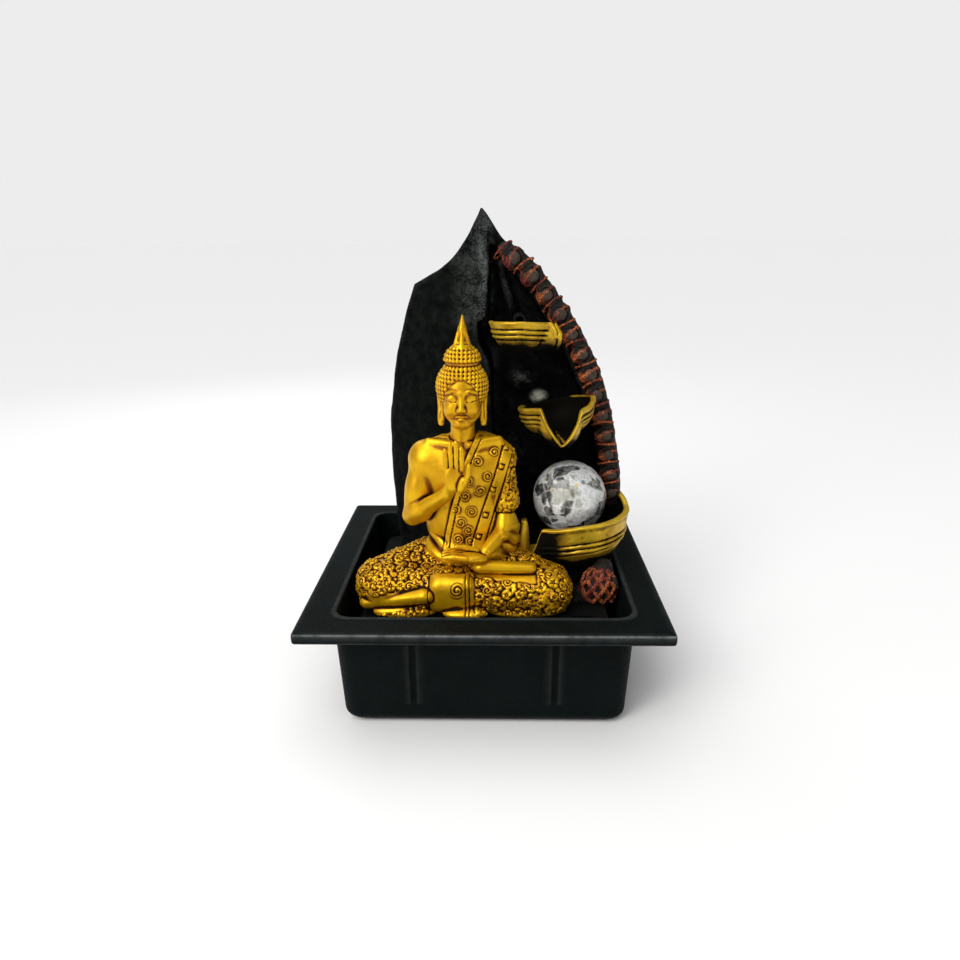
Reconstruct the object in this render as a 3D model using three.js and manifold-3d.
// Tabletop water fountain: a square reservoir basin with a lift-out sculpture. The sculpture is a plinth that
// carries a leaf-shaped backdrop, a seated figure and three spill bowls, with a crystal ball on a lit seat. A
// submersible pump under the plinth lifts water through a hose behind the backdrop to the top bowl.
// Millimetres, +Z up, the front faces -Y, origin on the table under the centre of the basin.
import * as THREE from "three";
import { mergeVertices } from "three/addons/utils/BufferGeometryUtils.js";
import Module from "manifold-3d";

const wasm = await Module();
wasm.setup();

// ---------------------------------------------------------------- driving dimensions
const GAP = 0.3; // between pieces that rest on each other

const FOOT = { radius: 8, height: 1.5, inset: 58, sunk: 0.6 };
const RIM = { width: 200, top: 67.5, thickness: 6, opening: 161, corner: 2, lip: 3, lipHeight: 0.8 };
const TUB = { top: 166, foot: 160, wall: 2.5, corner: 10, edge: 6, base: FOOT.height - FOOT.sunk };
const GROOVE = { offset: 39.2, width: 3, depth: 0.9, bottom: 14, top: 54 };
const FLOOR = TUB.base + TUB.wall; // inside floor of the tub

const PLINTH = {
  left: -71, right: 71, front: -67, back: 70, corner: 8, top: 54, wall: 4, bottom: FLOOR + GAP,
};
const DECK = PLINTH.top + GAP; // where the castings stand

const BACK = { front: 6, rear: 62, recess: 26, leanFrom: 150, lean: 26, tipZ: 279.5 };
const COVER = { thickness: 2.5, inset: 7.5, ledge: 3, top: 262 };
const SCREW = { shank: 1.2, head: 2.6, headHeight: 1.4, length: 9 };

const BALL = { x: 52, y: -1, z: 109, radius: 22.5 };
const LED = { radius: 12, lens: 7.5, wall: 2, bottom: 66.5, top: 81.5 };
const SEAT = { inner: 9.4, outer: 12.8, height: 5.5 };

const LOWER_BOWL = { x: 55.5, y: -1, rim: 98, radius: 33.5, depth: 30, foot: 17, floor: 85.5, wall: 3 };
const MIDDLE_BOWL = { x: 43, y: 3, rim: 176, radius: 23.5, depth: 29, foot: 8, floor: 152, wall: 2.6 };
const TOP_BOWL = { x: 21, y: 10, rim: 216.5, radius: 18.5, depth: 19, foot: 8, floor: 202, wall: 2.4 };

const PUMP = { axisY: 48, axisZ: 22, front: -6, back: 30, half: 17, bottom: 8, top: 38, wall: 2 };
const ROTOR = { magnet: 7, well: 7.7, blades: 9.6, chamber: 11, shaft: 1, bore: 1.3 };
const OUTLET = { x: -10.5, outer: 4, bore: 2.5, top: 47 };
const HOSE = { inner: 4.3, outer: 5.6, bottom: 40.5, top: 206 };
const SPOUT = { outer: 4, bore: 2.5, z: 214, front: 22.5, elbowY: 50 };

// ---------------------------------------------------------------- materials
const paint = (color, roughness, metalness = 0) =>
  new THREE.MeshStandardMaterial({ color, roughness, metalness });
const BLACK_RESIN = paint(0x14171a, 0.75);
const BLACK_PLASTIC = paint(0x0e1010, 0.5);
const GOLD_PAINT = paint(0xc8920f, 0.35, 0.7);
const BARK_PAINT = paint(0x6e2c1c, 0.7);
const RUBBER = paint(0x1a1a1a, 0.9);
const STEEL = paint(0x9a9a9a, 0.3, 1);
const CLEAR_GLASS = paint(0xe8eef0, 0.05);
const CLEAR_VINYL = paint(0xc9d2d4, 0.25);
const SPONGE = paint(0x2c3033, 1);
const CERAMIC = paint(0xece8e0, 0.3);
const FERRITE = paint(0x3b3d40, 0.6);
const COPPER = paint(0xa8642f, 0.4, 1);
const BOARD = paint(0xe9ece8, 0.5);
const LIGHT_CHIP = paint(0xfff4c2, 0.3);
const POTTING = paint(0x101214, 0.35);
const WHITE_PLASTIC = paint(0xe6e6e2, 0.4);
const GREY_PLASTIC = paint(0xb9bcc0, 0.5);

// ---------------------------------------------------------------- shape helpers
// A closed geometry as a solid. Faces that collapsed on an axis are dropped; a profile may run either way.
function solid(geometry) {
  const bare = geometry.clone();
  bare.deleteAttribute("normal");
  bare.deleteAttribute("uv");
  const merged = mergeVertices(bare, 1e-4);
  const index = merged.index.array;
  const faces = [];
  for (let i = 0; i < index.length; i += 3) {
    const [a, b, c] = [index[i], index[i + 1], index[i + 2]];
    if (a !== b && b !== c && c !== a) faces.push(a, b, c);
  }
  const vertProperties = merged.attributes.position.array;
  const build = (list) => {
    const triVerts = new Uint32Array(list);
    return new wasm.Manifold(new wasm.Mesh({ numProp: 3, vertProperties, triVerts }));
  };
  const made = build(faces);
  return made.volume() < 0 ? build(faces.reverse()) : made;
}

const join = (...parts) => parts.map(asSolid).reduce((all, next) => all.add(next));
const cut = (from, ...tools) => tools.map(asSolid).reduce((left, tool) => left.subtract(tool), asSolid(from));
const common = (...parts) => parts.map(asSolid).reduce((all, next) => all.intersect(next));

function asSolid(shape) {
  return shape.isBufferGeometry ? solid(shape) : shape;
}

function add(parent, name, shape, material) {
  const mesh = asSolid(shape).simplify(0.03).getMesh();
  const geometry = new THREE.BufferGeometry();
  geometry.setAttribute("position", new THREE.BufferAttribute(new Float32Array(mesh.vertProperties), 3));
  geometry.setIndex(new THREE.BufferAttribute(new Uint32Array(mesh.triVerts), 1));
  const made = new THREE.Mesh(geometry, material);
  made.name = name;
  parent.add(made);
  return made;
}

const TO_Y = new THREE.Matrix4().set(1, 0, 0, 0, 0, 0, -1, 0, 0, 1, 0, 0, 0, 0, 0, 1);
const TO_X = new THREE.Matrix4().set(0, 0, 1, 0, 1, 0, 0, 0, 0, 1, 0, 0, 0, 0, 0, 1);

const extrude = (shape, depth, steps = 1) =>
  new THREE.ExtrudeGeometry(shape, { depth, steps, bevelEnabled: false, curveSegments: 6 });
// A plan outline raised along Z, a front outline (x, z) carried along Y, and a side outline (y, z) along X.
const prismZ = (shape, z0, z1, steps) => extrude(shape, z1 - z0, steps).translate(0, 0, z0);
const prismY = (shape, y0, y1) => extrude(shape, y1 - y0).applyMatrix4(TO_Y).translate(0, y1, 0);
const prismX = (shape, x0, x1) => extrude(shape, x1 - x0).applyMatrix4(TO_X).translate(x0, 0, 0);

const box = (x0, x1, y0, y1, z0, z1) =>
  new THREE.BoxGeometry(x1 - x0, y1 - y0, z1 - z0).translate((x0 + x1) / 2, (y0 + y1) / 2, (z0 + z1) / 2);

const cylinderZ = (r, z0, z1, sides = 20, rTop = r) =>
  new THREE.CylinderGeometry(rTop, r, z1 - z0, sides).rotateX(Math.PI / 2).translate(0, 0, (z0 + z1) / 2);
const cylinderY = (r, y0, y1, sides = 20) => cylinderZ(r, -y1, -y0, sides).rotateX(Math.PI / 2);
const cylinderX = (r, x0, x1, sides = 20) => cylinderZ(r, x0, x1, sides).rotateY(Math.PI / 2);

const lathe = (profile, sides) =>
  new THREE.LatheGeometry(profile.map(([r, z]) => new THREE.Vector2(r, z)), sides).rotateX(Math.PI / 2);

function roundedRect(x0, x1, y0, y1, r) {
  const shape = new THREE.Shape();
  shape.absarc(x1 - r, y1 - r, r, 0, Math.PI / 2);
  shape.absarc(x0 + r, y1 - r, r, Math.PI / 2, Math.PI);
  shape.absarc(x0 + r, y0 + r, r, Math.PI, 1.5 * Math.PI);
  shape.absarc(x1 - r, y0 + r, r, 1.5 * Math.PI, 2 * Math.PI);
  return shape;
}

const polygon = (points) => new THREE.Shape(points.map(([a, b]) => new THREE.Vector2(a, b)));

// A closed outline of runs of points, each smooth, with a corner between one run and the next and a straight
// last side.
function smoothOutline(runs, perSpan) {
  const points = runs.flatMap((run) => {
    const curve = new THREE.SplineCurve(run.map(([a, b]) => new THREE.Vector2(a, b)));
    return curve.getPoints(perSpan * (run.length - 1)).slice(0, -1);
  });
  const [lastX, lastY] = runs.at(-1).at(-1);
  return new THREE.Shape([...points, new THREE.Vector2(lastX, lastY)]);
}

function tube(points, radius, sides, steps) {
  const section = new THREE.Shape();
  for (let i = 0; i < sides; i++) {
    const angle = (2 * Math.PI * i) / sides;
    const [a, b] = [radius * Math.cos(angle), radius * Math.sin(angle)];
    if (i === 0) section.moveTo(a, b);
    else section.lineTo(a, b);
  }
  const through = points.map((p) => new THREE.Vector3(...p));
  const extrudePath = new THREE.CatmullRomCurve3(through, false, "centripetal");
  return new THREE.ExtrudeGeometry(section, { steps, extrudePath, bevelEnabled: false });
}

const ellipsoid = ([x, y, z], [rx, ry, rz], around = 16, rings = 10) =>
  new THREE.SphereGeometry(1, around, rings).rotateX(Math.PI / 2).scale(rx, ry, rz).translate(x, y, z);

// A limb: a round-ended bar between two points.
function limb(from, to, radius) {
  const [a, b] = [new THREE.Vector3(...from), new THREE.Vector3(...to)];
  const along = b.clone().sub(a);
  const up = new THREE.Vector3(0, 1, 0);
  const turn = new THREE.Quaternion().setFromUnitVectors(up, along.clone().normalize());
  return new THREE.CapsuleGeometry(radius, along.length(), 3, 12)
    .applyQuaternion(turn)
    .translate(...a.add(b).multiplyScalar(0.5).toArray());
}

// ---------------------------------------------------------------- basin
// A tapered tub body with rounded corners and a rounded lower edge, from its outline at the rim.
function tubBody(width, footWidth, corner, base, top) {
  const half = width / 2 - TUB.edge;
  const body = new THREE.ExtrudeGeometry(roundedRect(-half, half, -half, half, corner), {
    depth: top - base,
    bevelThickness: TUB.edge,
    bevelSize: TUB.edge,
    bevelSegments: 3,
    curveSegments: 4,
  }).translate(0, 0, base + TUB.edge);
  const at = body.attributes.position;
  for (let i = 0; i < at.count; i++) {
    const share = Math.min(Math.max((at.getZ(i) - base) / (RIM.top - base), 0), 1);
    const taper = (footWidth + (width - footWidth) * share) / width;
    at.setXY(i, at.getX(i) * taper, at.getY(i) * taper);
  }
  return body;
}

function grooveCutters() {
  const slope = Math.atan((TUB.top - TUB.foot) / 2 / (RIM.top - TUB.base));
  const middle = (GROOVE.bottom + GROOVE.top) / 2;
  const share = (middle - TUB.base) / (RIM.top - TUB.base);
  const wallAt = (TUB.foot + (TUB.top - TUB.foot) * share) / 2;
  const cutters = [];
  for (let side = 0; side < 4; side++) {
    for (const x of [-GROOVE.offset, GROOVE.offset]) {
      cutters.push(
        new THREE.BoxGeometry(GROOVE.width, 2 * GROOVE.depth, GROOVE.top - GROOVE.bottom)
          .rotateX(slope)
          .translate(x, -wallAt, middle)
          .rotateZ((side * Math.PI) / 2),
      );
    }
  }
  return cutters;
}

// The half-round notch in the rear rim, where the mains cord passes through a grommet.
const CORD_NOTCH = { x: 46, radius: 5, wall: 3 };

function basinShape() {
  const half = RIM.width / 2;
  const open = RIM.opening / 2;
  const under = RIM.top - RIM.thickness;
  const rim = prismZ(roundedRect(-half, half, -half, half, RIM.corner), under, RIM.top);
  const lipHalf = open + RIM.lip;
  const lipPlan = roundedRect(-lipHalf, lipHalf, -lipHalf, lipHalf, TUB.corner);
  const lip = prismZ(lipPlan, RIM.top - 1, RIM.top + RIM.lipHeight);
  const outer = tubBody(TUB.top, TUB.foot, TUB.corner, TUB.base, RIM.top);
  const belowRim = box(-half, half, -half, half, 0, under + 1);
  const inner = tubBody(RIM.opening, TUB.foot - 2 * TUB.wall, TUB.corner - TUB.wall, FLOOR, RIM.top + 10);
  const notch = cylinderY(CORD_NOTCH.radius, open - CORD_NOTCH.wall, open + CORD_NOTCH.wall + RIM.lip, 16)
    .translate(CORD_NOTCH.x, 0, RIM.top);
  const footSocket = cylinderZ(FOOT.radius + GAP, 0, TUB.base + FOOT.sunk + GAP);
  const feet = footPlaces().map(([x, y]) => footSocket.clone().translate(x, y, 0));
  return cut(join(common(outer, belowRim), rim, lip), inner, notch, ...grooveCutters(), ...feet);
}

function footPlaces() {
  const at = FOOT.inset;
  return [[-at, -at], [at, -at], [at, at], [-at, at]];
}

function addBasin(group) {
  add(group, "basin", basinShape(), BLACK_PLASTIC);
  const names = ["front_left", "front_right", "rear_right", "rear_left"];
  footPlaces().forEach(([x, y], i) => {
    const pad = cylinderZ(FOOT.radius, 0, FOOT.height).translate(x, y, 0);
    add(group, `foot_${names[i]}`, pad, RUBBER);
  });
  const open = RIM.opening / 2;
  const { radius, wall } = CORD_NOTCH;
  const ring = (r, past) => cylinderY(r, open + GAP - wall - past, open + wall + RIM.lip - GAP + past, 16);
  const grommet = cut(ring(radius - GAP, 0), ring(radius - 2, 1));
  const above = box(-2 * radius, 2 * radius, 0, RIM.width, 0.2, 2 * radius);
  add(group, "cord_grommet", cut(grommet, above).translate([CORD_NOTCH.x, 0, RIM.top]), RUBBER);
}

// ---------------------------------------------------------------- plinth
const FIGURE_SCREWS = [[-40, -30], [16, -30]];
const ARCH = { width: 22, height: 14, front: [-40, 3, 46], sides: [-30, 25] };
const DRAIN = { x: 56, y: -57, half: [6, 5] };

function plinthShape() {
  const { left, right, front, back, corner, top, wall, bottom } = PLINTH;
  const shell = cut(
    prismZ(roundedRect(left, right, front, back, corner), bottom, top),
    prismZ(
      roundedRect(left + wall, right - wall, front + wall, back - wall, corner - wall),
      bottom - 1,
      top - wall,
    ),
  );
  const archBlock = box(-ARCH.width / 2, ARCH.width / 2, -2.5 * wall, 2.5 * wall, 0, bottom + ARCH.height);
  const arch = (x, y, turn) => archBlock.clone().rotateZ(turn).translate(x, y, 0);
  const arches = [
    ...ARCH.front.map((x) => arch(x, front, 0)),
    ...ARCH.sides.flatMap((y) => [arch(left, y, Math.PI / 2), arch(right, y, Math.PI / 2)]),
  ];
  const cordWay = box(CORD_NOTCH.x - 6, CORD_NOTCH.x + 6, back - 10, back + 5, bottom + 20, bottom + 34);
  const deckHole = (r, x, y, sides) => cylinderZ(r, top - 10, top + 1, sides).translate(x, y, 0);
  const hoseWay = deckHole(HOSE.outer + 1.4, OUTLET.x, PUMP.axisY);
  const ledWay = deckHole(LED.radius + 1, BALL.x, BALL.y);
  const [dx, dy] = DRAIN.half;
  const drain = box(DRAIN.x - dx, DRAIN.x + dx, DRAIN.y - dy, DRAIN.y + dy, top - 10, top + 1);
  const screwWays = FIGURE_SCREWS.map(([x, y]) => deckHole(SCREW.shank + GAP, x, y, 12));
  return cut(shell, ...arches, cordWay, hoseWay, ledWay, drain, ...screwWays);
}

// ---------------------------------------------------------------- backdrop
// The leaf's front outline (x, z): up the left edge, over the shoulder to the tip, and down the right edge.
const LEAF = [
  [
    [-58, DECK], [-61.6, 87], [-63.7, 119], [-63.2, 147],
    [-60.2, 170], [-55.3, 196], [-49.3, 218], [-43.5, 235],
  ],
  [[-43.5, 235], [-27.3, 244.6], [-13.8, 257.8], [-5.8, 271], [-2.2, BACK.tipZ]],
  [
    [-2.2, BACK.tipZ], [10.8, 261.6], [29.9, 246], [48.6, 222.5], [63.5, 197],
    [74, 170], [80, 141], [83, 112], [82, 84], [76, DECK],
  ],
];
// The recess beside the ridge that holds the bowls (x, z).
const RECESS = [
  [[4, 92], [4, 140], [3.5, 190], [4, 225], [9, 249]],
  [[9, 249], [30, 226], [51, 191.5], [64, 160], [70.5, 125], [72, 92]],
];
// Half of the wall behind the ridge, in plan (x, y), before the leaf leans back.
const WING = [
  [[-70, 62], [-66, 46], [-52, 28], [-30, 14], [0.5, BACK.front]],
  [[0.5, BACK.front], [5, 17], [86, 17]],
  [[86, 17], [90, 62]],
];
// The hollow behind the ridge for the hose, in plan (x, y).
const CAVITY = [[-50, 70], [-50, 44], [-36, 32], [-18, 24], [-6, 20], [-6, 38], [60, 38], [60, 70]];

const leafLean = (z) => BACK.lean * Math.max((z - BACK.leanFrom) / (BACK.tipZ - BACK.leanFrom), 0) ** 2;

// Leans a standing shape back with its height, all at the front and not at all at the flat rear.
function leanBack(geometry) {
  const at = geometry.attributes.position;
  for (let i = 0; i < at.count; i++) {
    const share = (BACK.rear - at.getY(i)) / (BACK.rear - BACK.front);
    at.setY(i, at.getY(i) + leafLean(at.getZ(i)) * Math.max(share, 0));
  }
  return geometry;
}

// The leaf outline shrunk towards its middle by about `inset` on each side.
const LEAF_MIDDLE = { x: 8, z: 150, halfWidth: 62, halfHeight: 95 };

function insetLeaf(inset) {
  const { x: cx, z: cz, halfWidth, halfHeight } = LEAF_MIDDLE;
  const shrink = (v, c, half) => c + (v - c) * (1 - inset / half);
  const below = DECK + 6; // the outline runs on past the deck, so its foot isn't shrunk
  const inner = ([x, z]) => [shrink(x, cx, halfWidth), z < below ? z - 5 : shrink(z, cz, halfHeight)];
  return LEAF.map((run) => run.map(inner));
}

function backdropShape() {
  const plan = smoothOutline(WING, 2);
  const body = common(
    leanBack(prismZ(plan, DECK, BACK.tipZ + 1, 12)),
    prismY(smoothOutline(LEAF, 2), -20, BACK.rear),
  );
  const recess = prismY(smoothOutline(RECESS, 2), -20, BACK.recess);
  const [recessLeft, recessFoot] = RECESS[0][0];
  const below = box(recessLeft, RIM.width / 2, -20, BACK.recess, DECK - 1, recessFoot + 1);
  const behind = prismY(smoothOutline(insetLeaf(COVER.inset), 1), 0, 80);
  const cavity = common(leanBack(prismZ(polygon(CAVITY), DECK - 5, 250, 8)), behind);
  const belowTop = box(-RIM.width / 2, RIM.width / 2, 0, 80, 0, COVER.top);
  const coverSeat = common(coverPlate(0, BACK.rear - COVER.thickness, 80), belowTop);
  const nozzle = cylinderY(SPOUT.outer + GAP, 20, SPOUT.elbowY, 16).translate(TOP_BOWL.x, 0, SPOUT.z);
  const sockets = [TOP_BOWL, MIDDLE_BOWL, LOWER_BOWL].map(bowlSocket);
  const pilot = cylinderY(SCREW.shank + 0.2, BACK.rear - 14, BACK.rear + 2, 10);
  const pilots = COVER_SCREWS.map(([x, z]) => pilot.clone().translate(x, 0, z));
  const trimSeat = trimTube(TRIM.radius + GAP);
  return cut(body, recess, below, cavity, coverSeat, nozzle, ...sockets, trimSeat, ...pilots);
}

const BOWL_SIDES = 28;
const SOCKET_GAP = GAP + 0.1; // wider than GAP, because the flats of a faceted bowl lie inside its circle

// The space that a bowl takes in the backdrop, open above its rim.
function bowlSocket(b) {
  const wider = bowlSide(b).map(([r, z]) => [r + SOCKET_GAP, z]);
  const open = b.rim + 6;
  const low = b.rim - b.depth - GAP;
  const profile = [[0, low], [wider[0][0], low], ...wider, [b.radius + SOCKET_GAP, open], [0, open]];
  return asSolid(lathe(profile, BOWL_SIDES)).translate([b.x, b.y, 0]);
}

// A bowl's outer side from its foot to its rim (radius, z).
function bowlSide(b) {
  const at = (share, down) => new THREE.Vector2(b.radius * share, b.rim - b.depth * down);
  const side = [new THREE.Vector2(b.foot, b.rim - b.depth), at(0.72, 0.72), at(0.93, 0.36), at(1, 0)];
  return new THREE.SplineCurve(side).getPoints(6).map((p) => [p.x, p.y]);
}

const COVER_SCREWS = [[-53, 100], [71, 100], [-47, 196], [47, 196]]; // (x, z)

const coverPlate = (gap, y0, y1) =>
  prismY(smoothOutline(insetLeaf(COVER.inset - COVER.ledge + gap), 1), y0, y1);

function coverShape() {
  const plate = coverPlate(GAP, BACK.rear - COVER.thickness + GAP, BACK.rear);
  const half = RIM.width / 2;
  const floor = box(-half, half, 0, 80, -10, DECK + GAP);
  const top = box(-half, half, 0, 80, COVER.top - GAP, 2 * COVER.top);
  const hole = cylinderY(SCREW.shank + 0.4, BACK.rear - 12, BACK.rear + 8, 12);
  const holes = COVER_SCREWS.map(([x, z]) => hole.clone().translate(x, 0, z));
  return cut(plate, floor, top, ...holes);
}

// A cross-head screw along +Z, its head on top.
function screwShape(length = SCREW.length) {
  const slot = (a, b) => box(-a, a, -b, b, SCREW.headHeight - 0.7, SCREW.headHeight + 1);
  const head = cylinderZ(SCREW.head, 0, SCREW.headHeight, 16, SCREW.head - 0.5);
  const body = join(cylinderZ(SCREW.shank, -length, 0.1, 12), head);
  return cut(body, slot(1.6, 0.35), slot(0.35, 1.6));
}

// ---------------------------------------------------------------- bowls
// A round spill bowl. `from` to `to` are the angles of the V notch in its rim, in degrees, `lipDrop` is the
// notch's depth, and `start` is where it starts, as a share of the radius.
function bowlShape(b, from, to, lipDrop, start = 0.3) {
  const outside = bowlSide(b);
  const inside = outside.filter(([, z]) => z > b.floor + 1).map(([r, z]) => [r - b.wall, z]);
  const floorRadius = inside[0][0] - 2;
  const cup = [...outside, ...inside.reverse(), [floorRadius, b.floor]];
  const bowl = lathe([[0, b.rim - b.depth], ...cup, [0, b.floor]], BOWL_SIDES);
  const middle = ((from + to) / 2) * (Math.PI / 180);
  const reach = b.radius * 1.6;
  const spread = (((to - from) / 2) * Math.PI) / 180;
  const mouth = Math.tan(spread) * b.radius;
  const wedge = polygon([[-mouth, b.rim + 1], [0, b.rim - lipDrop], [mouth, b.rim + 1]]);
  const notch = prismX(wedge, b.radius * start, reach);
  const shell = cut(bowl, asSolid(notch.rotateZ(middle)));
  return shell.translate([b.x, b.y, 0]);
}

// A bowl whose back is cut flat to stand against the recess in the backdrop.
function hangingBowl(...bowl) {
  const front = box(-100, 200, -100, BACK.recess - GAP, 0, 300);
  return common(bowlShape(...bowl), front);
}

function lowerBowlShape() {
  const well = cylinderZ(LED.lens + GAP, 60, LOWER_BOWL.floor + 5, 20).translate(BALL.x, BALL.y, 0);
  const puck = cylinderZ(LED.radius + GAP, 60, LED.top + GAP, 24).translate(BALL.x, BALL.y, 0);
  return cut(hangingBowl(LOWER_BOWL, 182, 240, 24, 0.55), well, puck);
}

function bowlStandShape() {
  const well = cylinderZ(LED.radius + GAP, LED.bottom - GAP, 90, 24).translate(BALL.x, BALL.y, 0);
  const leadWay = cylinderZ(5, DECK - 5, 90, 16).translate(BALL.x, BALL.y, 0);
  return cut(standBlock(0), bowlSocket(LOWER_BOWL), well, leadWay);
}

// ---------------------------------------------------------------- light under the ball
function addLight(group) {
  const at = (shape) => asSolid(shape).translate([BALL.x, BALL.y, 0]);
  const { radius, lens, wall, bottom, top } = LED;
  const cup = cut(
    cylinderZ(radius, bottom, top - 2.4, 24),
    cylinderZ(radius - wall, bottom + wall, top, 24),
    cylinderZ(2, bottom - 1, bottom + 3, 12),
  );
  add(group, "light_housing", at(cup), BLACK_PLASTIC);
  add(group, "light_board", at(cylinderZ(radius - wall - GAP, bottom + 6, bottom + 7.6, 20)), BOARD);
  for (let i = 0; i < 3; i++) {
    const chip = box(-1.6, 1.6, -1.6, 1.6, bottom + 7.9, bottom + 9.2)
      .translate(4.5, 0, 0)
      .rotateZ((i * 2 * Math.PI) / 3);
    add(group, `light_chip_${i + 1}`, at(chip), LIGHT_CHIP);
  }
  const gasket = cut(cylinderZ(radius, top - 2.1, top - 1.1, 24), cylinderZ(radius - wall, top - 3, top, 24));
  add(group, "light_gasket", at(gasket), RUBBER);
  const cap = join(
    cylinderZ(radius, top - 0.8, top, 24),
    cylinderZ(lens, top - 0.8, LOWER_BOWL.floor + 0.4, 20),
  );
  const lensRoom = cylinderZ(lens - 1.5, top - 2, LOWER_BOWL.floor - 1, 20);
  add(group, "light_lens", at(cut(cap, lensRoom)), CLEAR_VINYL);
  const low = LOWER_BOWL.floor + GAP;
  const ballRoom = BALL.radius + GAP;
  const seat = cut(
    cylinderZ(SEAT.outer, low, low + SEAT.height, 24),
    cylinderZ(SEAT.inner - 0.6, low - 1, low + SEAT.height - 0.5, 24),
    ellipsoid([0, 0, BALL.z], [ballRoom, ballRoom, ballRoom], 32, 20),
  );
  add(group, "ball_seat", at(seat), RUBBER);
}

// ---------------------------------------------------------------- bark trim
const TRIM = { radius: 6.6, y: 11.5 };
const TRIM_PATH = [
  [12, 252], [24, 243], [34.5, 231.5], [45.5, 216], [56, 199],
  [64.5, 180.5], [70.5, 160], [75, 139], [78, 118], [79, 103],
];

const trimTube = (radius) =>
  tube(TRIM_PATH.map(([x, z]) => [x, TRIM.y + leafLean(z) * 0.9, z]), radius, 8, 20);

function trimShape() {
  return cut(trimTube(TRIM.radius), ...[TOP_BOWL, MIDDLE_BOWL, LOWER_BOWL].map(bowlSocket));
}

function rootShape() {
  const lump = join(
    ellipsoid([66.5, -33, 64], [13, 10, 12], 14, 9),
    ellipsoid([60, -31, 58], [9, 8, 7], 12, 8),
    ellipsoid([71, -28, 72], [7, 8, 9], 12, 8),
  );
  const half = RIM.width / 2;
  const onDeck = box(0, RIM.opening / 2 - 1, -half, half, DECK, LOWER_BOWL.rim);
  return cut(common(lump, onDeck), standBlock(GAP), bowlSocket(LOWER_BOWL));
}

// The stand's outer block, grown by a gap on each side for the pieces beside it.
const STAND = { left: 34, right: 78, front: -19, corner: 8, top: 74 };
const standBlock = (gap) =>
  prismZ(
    roundedRect(
      STAND.left - gap, STAND.right + gap, STAND.front - gap, BACK.recess - GAP + gap, STAND.corner,
    ),
    DECK - gap,
    STAND.top + gap,
  );

// ---------------------------------------------------------------- seated figure
function figureShape() {
  const legs = [
    limb([-24, -18, 74], [-60, -36, 72], 15.5),
    limb([0, -18, 74], [36, -36, 71], 15.5),
    limb([-58, -44, 66], [0, -50, 68], 12),
    limb([36, -44, 64], [-20, -54, 64], 11),
    ellipsoid([-12, -30, 72], [46, 30, 18], 20, 10),
  ];
  const torso = [
    ellipsoid([-12.5, -20, 96], [22, 16, 22], 16, 10),
    ellipsoid([-12.5, -21, 124], [25, 14, 28], 16, 10),
    limb([-36, -22, 141], [11, -22, 141], 9.5),
  ];
  const arms = [
    limb([-38, -23, 139], [-42, -27, 109], 7.6),
    limb([-42, -29, 107], [-17, -44, 128], 5.6),
    ellipsoid([-14, -46, 142], [5.5, 3.6, 12], 12, 8),
    limb([12, -22, 139], [17, -24, 108], 8.6),
    limb([17, -25, 104], [-4, -44, 92], 6),
    ellipsoid([-8, -46, 91], [14, 8, 4.5], 14, 8),
  ];
  const head = [
    limb([-12.5, -23, 148], [-12.5, -25, 164], 7),
    ellipsoid([-12.3, -26, 176.5], [12.6, 14, 16], 18, 12),
    ellipsoid([-12.3, -25, 184], [15.4, 15.5, 15], 18, 12),
    ellipsoid([-12.2, -25, 199], [9, 9, 9], 14, 9),
    cylinderZ(4.2, 203, 222, 12, 0.5).translate(-12.2, -25, 0),
  ];
  const half = RIM.width / 2;
  const above = box(-half, half, -half, BACK.front - 3, DECK, BACK.tipZ);
  const pilot = cylinderZ(SCREW.shank + 0.2, 0, DECK + 8, 12);
  const screws = FIGURE_SCREWS.map(([x, y]) => pilot.clone().translate(x, y, 0));
  const body = common(join(...legs, ...torso, ...arms, ...head), above).simplify(0.6);
  return cut(body, standBlock(GAP), ...screws);
}

// ---------------------------------------------------------------- pump
// Pieces on the rotor's axis are drawn along X about (0, 0) and then moved onto it.
const onAxis = (shape) => asSolid(shape).translate([0, PUMP.axisY, PUMP.axisZ]);

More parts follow.
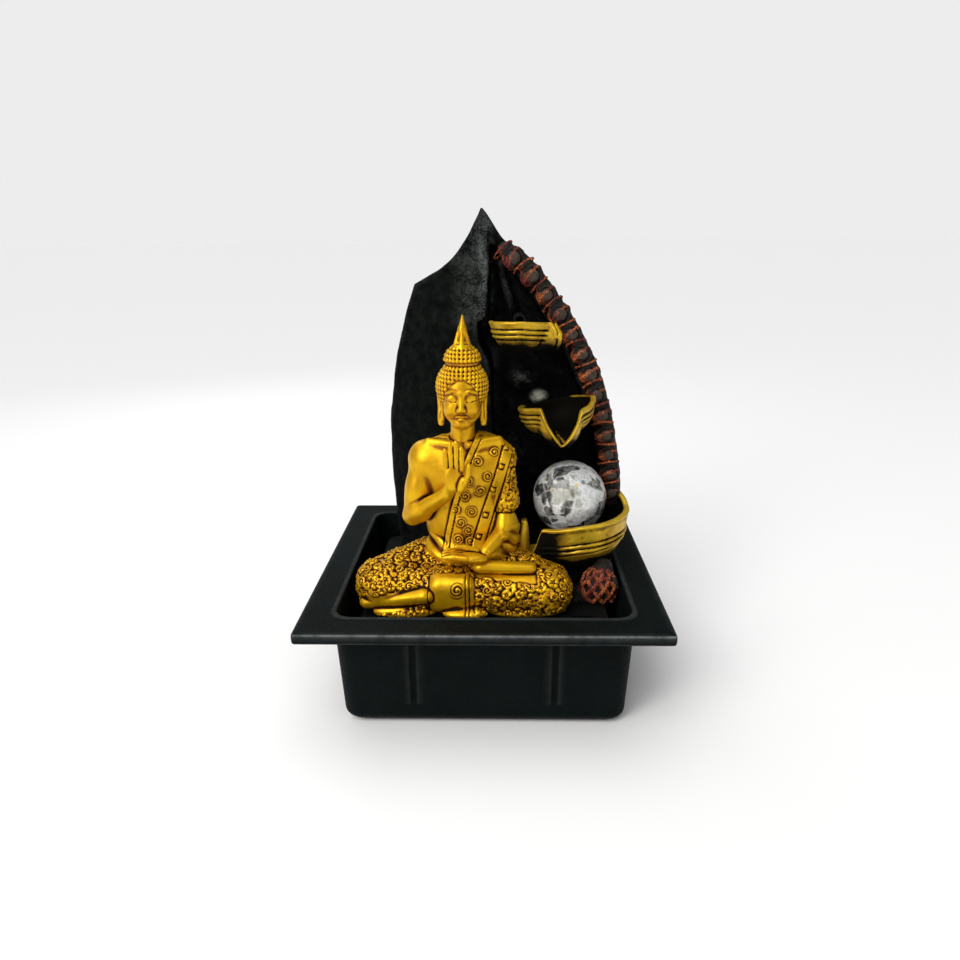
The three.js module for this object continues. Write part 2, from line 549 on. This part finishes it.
function addPump(group) {
  const { axisY, axisZ, front, back, half, bottom, top, wall } = PUMP;
  const [y0, y1] = [axisY - half, axisY + half];
  const block = (inset, x0, x1) =>
    prismX(roundedRect(y0 + inset, y1 - inset, bottom + inset, top - inset, 3), x0, x1);

  const wellEnd = 17;
  const shell = cut(block(0, front, back), block(wall, front + wall, back + 1));
  const well = onAxis(cylinderX(ROTOR.well + 1.5, front, wellEnd, 24));
  const bore = onAxis(cylinderX(ROTOR.well, front - 1, wellEnd - 1.5, 24));
  const bushPocket = onAxis(cylinderX(3.4, wellEnd - 3, wellEnd - 1.2, 16));
  const leadHole = cylinderX(3, back - 9, back + 2, 14).translate(0, axisY - 9, axisZ + 9);
  add(group, "pump_housing", cut(join(shell, well), bore, bushPocket), BLACK_PLASTIC);

  const wellWay = onAxis(cylinderX(ROTOR.well + 1.5 + GAP, -20, 40, 24));
  const core = cut(block(wall + GAP, front + wall + 2, 14), wellWay);
  add(group, "stator_core", core, FERRITE);
  add(group, "stator_coil", cut(block(wall + 3, 17.5, 24), leadHole), COPPER);
  add(group, "potting_plug", cut(block(wall + GAP, 24.4, back - 0.4), leadHole), POTTING);
  const gland = cut(cylinderX(2.6, back - 5, back + 7, 14), cylinderX(1.6, back - 6, back + 8, 12));
  add(group, "pump_gland", gland.translate([0, axisY - 9, axisZ + 9]), RUBBER);

  const [x0, x1] = [front - 9, front - GAP];
  const chamber = onAxis(cylinderX(ROTOR.chamber, x0 + 2, x1 + 1, 28));
  const eye = onAxis(cylinderX(4.6, x0 - 1, x0 + 3, 20));
  const spokes = [box(x0, x0 + 1.6, -5, 5, -0.7, 0.7), box(x0, x0 + 1.6, -0.7, 0.7, -5, 5)];
  const hub = onAxis(join(cylinderX(2.2, x0, x0 + 2, 14), ...spokes));
  const stub = cylinderZ(OUTLET.outer, top - 3, OUTLET.top, 20).translate(OUTLET.x, axisY, 0);
  const riser = cylinderZ(OUTLET.bore, axisZ + 4, OUTLET.top + 1, 16).translate(OUTLET.x, axisY, 0);
  const pin = onAxis(cylinderX(ROTOR.shaft + 0.15, x0 + 0.6, x0 + 4, 16));
  const volute = cut(join(block(1.5, x0, x1), stub), chamber, eye, riser);
  add(group, "pump_volute", cut(join(volute, hub), pin), BLACK_PLASTIC);

  add(group, "pump_shaft", onAxis(cylinderX(ROTOR.shaft, x0 + 0.9, wellEnd - 3.3, 16)), CERAMIC);
  const bush = cut(cylinderX(3.1, wellEnd - 2.7, wellEnd - 1.5, 16), cylinderX(ROTOR.bore, 0, 20, 12));
  add(group, "shaft_bush", onAxis(bush), RUBBER);

  suctionCups(group);
}

const CUPS = { radius: 5.5, neck: 2, x: [0, 24], spread: 10 };

function suctionCups(group) {
  const { axisY, bottom } = PUMP;
  const { radius, neck, spread } = CUPS;
  const [x0, x1] = CUPS.x;
  const [y0, y1] = [axisY - spread, axisY + spread];
  [[x0, y0], [x1, y0], [x1, y1], [x0, y1]].forEach(([x, y], i) => {
    const low = FLOOR + GAP;
    const cup = [[0, low + 1], [radius, low], [radius - 0.3, low + 0.9]];
    const profile = [...cup, [neck, low + 2.3], [neck, bottom - GAP], [0, bottom - GAP]];
    add(group, `suction_cup_${i + 1}`, asSolid(lathe(profile, 16)).translate([x, y, 0]), RUBBER);
  });
}

function addRotor(group) {
  const bore = cylinderX(ROTOR.bore, -40, 40, 16);
  const front = PUMP.front;
  const magnet = cut(cylinderX(ROTOR.magnet, front + 0.8, 12.6, 24), bore);
  add(group, "rotor_magnet", onAxis(magnet), FERRITE);
  const blade = box(front - 6, front - 2, -0.8, 0.8, 2, ROTOR.blades);
  const blades = [0, 1, 2, 3].map((i) => blade.clone().rotateX((i * Math.PI) / 2));
  const disc = cylinderX(ROTOR.blades, front - 2, front - 0.8, 24);
  const hub = cylinderX(2.8, front - 6, front + 0.5, 16);
  add(group, "impeller", onAxis(cut(join(disc, hub, ...blades), bore)), WHITE_PLASTIC);
}

const COVER_BOX = {
  front: -26, back: PUMP.front - 9 - GAP, half: 16, wall: 1.8, slots: 5, pitch: 5.4, slot: 2.4,
};

function addPumpCover(group) {
  const { front, back, half, wall, slots, pitch, slot } = COVER_BOX;
  const block = (inset, x0, x1) =>
    prismX(roundedRect(-half + inset, half - inset, -half + 2 + inset, half - 2 - inset, 3), x0, x1);
  const grille = (z0, z1) => Array.from({ length: slots }, (_, i) => {
    const y = (i - (slots - 1) / 2) * pitch;
    return box(front - 1, front + 4, y - slot / 2, y + slot / 2, z0, z1);
  });
  const dialHole = cylinderX(1.9, front - 5, front + 5, 16);
  const shell = cut(block(0, front, back), block(wall, front + 2, back + 1));
  const cover = cut(shell, ...grille(-11, -7.5), ...grille(7.5, 11), dialHole);
  add(group, "pump_cover", onAxis(cover), BLACK_PLASTIC);
  add(group, "filter_sponge", onAxis(block(2.4, front + 4.5, back - 1.5)), SPONGE);
}

function addFlowDial(group) {
  const { front } = COVER_BOX;
  const disc = cylinderX(6, front - 3, front - GAP, 20);
  const pin = cylinderX(1.5, front - 1, front + 3.2, 14);
  const grip = box(front - 4.4, front - 2.5, -0.9, 0.9, -5, 5);
  add(group, "flow_dial", onAxis(join(disc, pin, grip)), GREY_PLASTIC);
}

// ---------------------------------------------------------------- water and wires
const HOSE_ROUTE = [
  [OUTLET.x, PUMP.axisY, HOSE.bottom], [OUTLET.x, PUMP.axisY, 56], [-8, 49, 80], [0, 50, 118], [12, 50, 156],
  [TOP_BOWL.x - 1, SPOUT.elbowY, 186], [TOP_BOWL.x, SPOUT.elbowY, 196], [TOP_BOWL.x, SPOUT.elbowY, HOSE.top],
];
const SPLICE = { x: 30, y: 58, z: 33, width: 20, depth: 9, height: 11 };

function addPlumbing(group) {
  const beyond = (z, by) => ([x, y]) => [x, y, z + by];
  const [first, last] = [HOSE_ROUTE[0], HOSE_ROUTE.at(-1)];
  const longer = [beyond(HOSE.bottom, -4)(first), ...HOSE_ROUTE.slice(1, -1), beyond(HOSE.top, 4)(last)];
  const hose = cut(tube(HOSE_ROUTE, HOSE.outer, 12, 24), tube(longer, HOSE.inner, 12, 26));
  add(group, "water_hose", hose, CLEAR_VINYL);

  const { outer, bore, z, front, elbowY } = SPOUT;
  const elbow = (r, low, y) =>
    join(
      cylinderZ(r, low, z, 16).translate(0, elbowY, 0),
      cylinderY(r, y, elbowY, 16).translate(0, 0, z),
      ellipsoid([0, elbowY, z], [r, r, r], 16, 10),
    );
  const spout = cut(elbow(outer, HOSE.top - 8, front), elbow(bore, HOSE.top - 10, front - 2));
  add(group, "spout_nozzle", spout.translate([TOP_BOWL.x, 0, 0]), BLACK_PLASTIC);
}

function addWires(group) {
  const { x, y, z, width, depth, height } = SPLICE;
  add(group, "lead_splice", box(x, x + width, y - depth / 2, y + depth / 2, z, z + height), BLACK_PLASTIC);
  const lightRoute = [
    [BALL.x, BALL.y, LED.bottom - GAP], [BALL.x, BALL.y + 0.5, 58], [BALL.x - 1, 4, 47],
    [BALL.x - 6, 24, 40], [BALL.x - 10, 44, 39], [BALL.x - 12, y - depth / 2 - GAP, z + height / 2],
  ];
  add(group, "light_lead", tube(lightRoute, 1.3, 8, 22), RUBBER);
  const glandY = PUMP.axisY - 9;
  const pumpRoute = [
    [PUMP.back + 7 + GAP, glandY, PUMP.axisZ + 9], [44, glandY, 31], [49, 43, 30],
    [53, 52, 33], [57, y, 37], [x + width + GAP, y, z + height / 2],
  ];
  add(group, "pump_lead", tube(pumpRoute, 1.5, 8, 20), RUBBER);
}

// ---------------------------------------------------------------- assembly
const fountain = new THREE.Group();
addBasin(fountain);

const sculpture = new THREE.Group();
fountain.add(sculpture);
add(sculpture, "plinth", plinthShape(), BLACK_RESIN);
add(sculpture, "backdrop", backdropShape(), BLACK_RESIN);
add(sculpture, "rear_cover", coverShape(), BLACK_PLASTIC);
COVER_SCREWS.forEach(([x, z], i) => {
  const screw = add(sculpture, `cover_screw_${i + 1}`, screwShape(), STEEL);
  screw.rotation.x = -Math.PI / 2;
  screw.position.set(x, BACK.rear + GAP, z);
});
FIGURE_SCREWS.forEach(([x, y], i) => {
  const screw = add(sculpture, `figure_screw_${i + 1}`, screwShape(), STEEL);
  screw.rotation.x = Math.PI;
  screw.position.set(x, y, PLINTH.top - PLINTH.wall - GAP);
});
add(sculpture, "seated_figure", figureShape(), GOLD_PAINT);
const spoutWay = cylinderY(SPOUT.outer + GAP, 15, 40, 16).translate(TOP_BOWL.x, 0, SPOUT.z);
add(sculpture, "top_bowl", cut(hangingBowl(TOP_BOWL, -50, -5, 17), spoutWay), GOLD_PAINT);
add(sculpture, "middle_bowl", hangingBowl(MIDDLE_BOWL, 246, 288, 27), GOLD_PAINT);
add(sculpture, "lower_bowl", lowerBowlShape(), GOLD_PAINT);
add(sculpture, "bowl_stand", bowlStandShape(), BLACK_RESIN);
add(sculpture, "bark_trim", trimShape(), BARK_PAINT);
add(sculpture, "bark_root", rootShape(), BARK_PAINT);
addLight(sculpture);
addPump(sculpture);
addRotor(sculpture);
addPumpCover(sculpture);
addFlowDial(sculpture);
addPlumbing(sculpture);
addWires(sculpture);
const ball = new THREE.IcosahedronGeometry(BALL.radius, 4).translate(BALL.x, BALL.y, BALL.z);
add(sculpture, "crystal_ball", ball, CLEAR_GLASS);

export default fountain;
